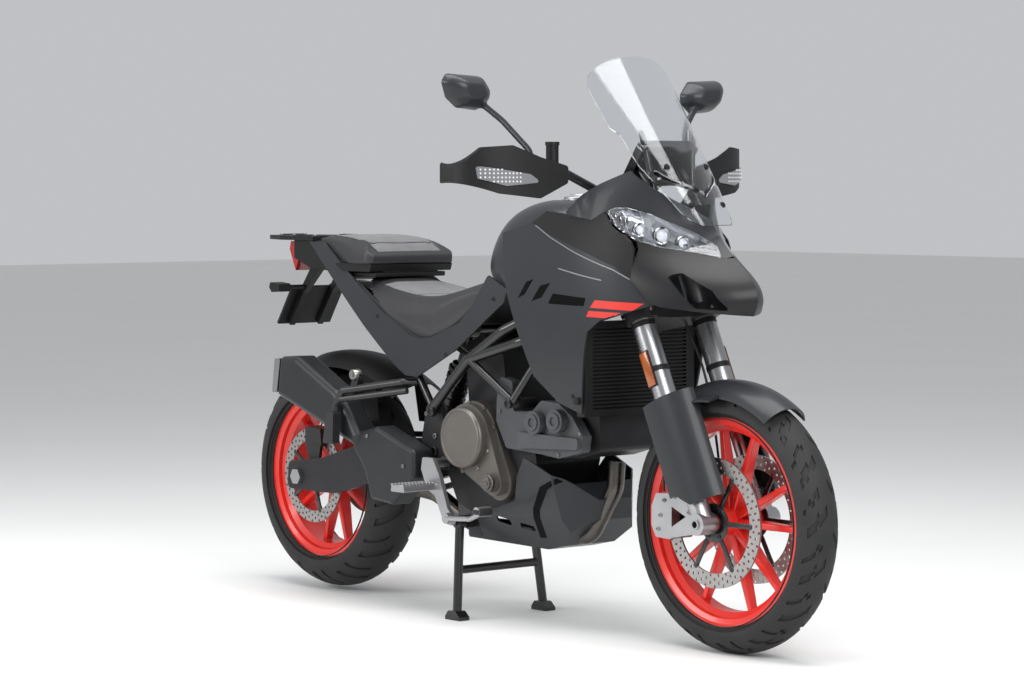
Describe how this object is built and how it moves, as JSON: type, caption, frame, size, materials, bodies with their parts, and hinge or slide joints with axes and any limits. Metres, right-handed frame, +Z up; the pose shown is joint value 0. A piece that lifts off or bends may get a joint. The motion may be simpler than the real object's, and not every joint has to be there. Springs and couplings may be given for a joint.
{
  "type": "adventure motorcycle",
  "caption": "Mid-size adventure motorcycle with spoked alloy wheels, trellis frame, beak fairing, tall screen and low-slung engine, parked on its centre stand.",
  "frame": {"origin": "on the ground, at the middle of the bounding box", "axes": "+X forward along the machine, +Y to the rider's left, +Z up"},
  "size_m": [2.2368, 0.956, 1.468],
  "materials": {
    "body_grey": "satin dark grey paint on moulded panels",
    "tank_grey": "satin dark grey paint",
    "body_black": "grained black moulding",
    "wheel_red": "bright orange-red gloss paint",
    "tyre_black": "moulded black rubber",
    "disc_steel": "ground steel",
    "cover_grey": "warm grey cast cover",
    "belt_grey": "mid grey satin cover",
    "engine_dark": "dark cast alloy",
    "alloy": "clear satin alloy",
    "frame_black": "black semi-gloss paint",
    "fork_grey": "grey metallic",
    "bright_steel": "hard chrome",
    "header_steel": "heat-tinted steel",
    "exhaust_black": "satin black",
    "chain_steel": "oiled steel",
    "clear_glass": "clear sheet",
    "lamp_glass": "clear lamp lens",
    "lamp_chrome": "bright reflector",
    "lamp_red": "red lens",
    "lamp_clear": "clear indicator lens",
    "seat_cover": "dark coated seat cloth",
    "grip_rubber": "ribbed rubber",
    "mirror_face": "mirror glass",
    "screen_black": "dark display"
  },
  "bodies": {
    "chassis": {"beak": "body_grey", "belly_pan": "body_grey", "belt_cover": "belt_grey", "chain": "chain_steel", "dashboard": "screen_black", "engine_block": "engine_dark", "engine_covers": "cover_grey", "exhaust_box": "exhaust_black", "exhaust_header": "header_steel", "fairing_stay": "frame_black", "footrests": "alloy", "frame_plates": "engine_dark", "frame_trellis": "frame_black", "grab_rack": "body_black", "headlight_housing": "lamp_chrome", "headlight_lens": "lamp_glass", "pillion_seat": "seat_cover", "radiator": "body_black", "rear_axle": "alloy", "rear_hugger": "body_black", "rear_shock": "frame_black", "rider_seat": "seat_cover", "side_bands": "body_black", "side_fairings": "body_grey", "silencer": "exhaust_black", "silencer_cap": "bright_steel", "stand_bracket": "frame_black", "subframe": "frame_black", "swingarm": "engine_dark", "tail_light": "lamp_red", "tail_panels": "body_grey", "tail_tray": "body_black", "tank": "tank_grey", "upper_fairing": "body_grey", "windscreen": "clear_glass"},
    "steering": {"fork_sleeves": "fork_grey", "fork_sliders": "bright_steel", "yokes": "engine_dark", "fork_feet": "alloy", "front_calipers": "alloy", "front_mudguard": "body_grey", "handlebar": "frame_black", "grips": "grip_rubber", "switchgear": "body_black", "mirrors": "body_black", "mirror_glasses": "mirror_face", "handguards": "body_black", "front_indicators": "lamp_clear"},
    "front_wheel": {"front_rim": "wheel_red", "front_tyre": "tyre_black", "front_discs": "disc_steel"},
    "rear_wheel": {"rear_rim": "wheel_red", "rear_tyre": "tyre_black", "rear_disc": "disc_steel", "rear_sprocket": "chain_steel"},
    "centre_stand": {"centre_stand": "frame_black"},
    "side_stand": {"side_stand": "frame_black"},
    "fuel_lid": {"fuel_lid": "alloy"}
  },
  "joints": [
    {"name": "steering_turn", "type": "hinge", "parent": "chassis", "child": "steering", "pos_m": [0.48296, 0, 0.90996], "axis": [-0.4147, 0, 0.91], "range_deg": [-35, 35]},
    {"name": "front_wheel_spin", "type": "hinge", "parent": "steering", "child": "front_wheel", "pos_m": [0.7935, 0, 0.325], "axis": [0, 1, 0], "continuous": true},
    {"name": "rear_wheel_spin", "type": "hinge", "parent": "chassis", "child": "rear_wheel", "pos_m": [-0.8005, 0, 0.328], "axis": [0, 1, 0], "continuous": true},
    {"name": "centre_stand_fold", "type": "hinge", "parent": "chassis", "child": "centre_stand", "pos_m": [-0.112, 0, 0.256], "axis": [0, 1, 0], "range_deg": [0, 90]},
    {"name": "side_stand_fold", "type": "hinge", "parent": "chassis", "child": "side_stand", "pos_m": [-0.018, 0.186, 0.236], "axis": [-0.0085, -0.9589, -0.2837], "range_deg": [0, 98]},
    {"name": "fuel_lid_hinge", "type": "hinge", "parent": "chassis", "child": "fuel_lid", "pos_m": [0.287, 0, 1.115], "axis": [0, 1, 0], "range_deg": [0, 95]}
  ]
}
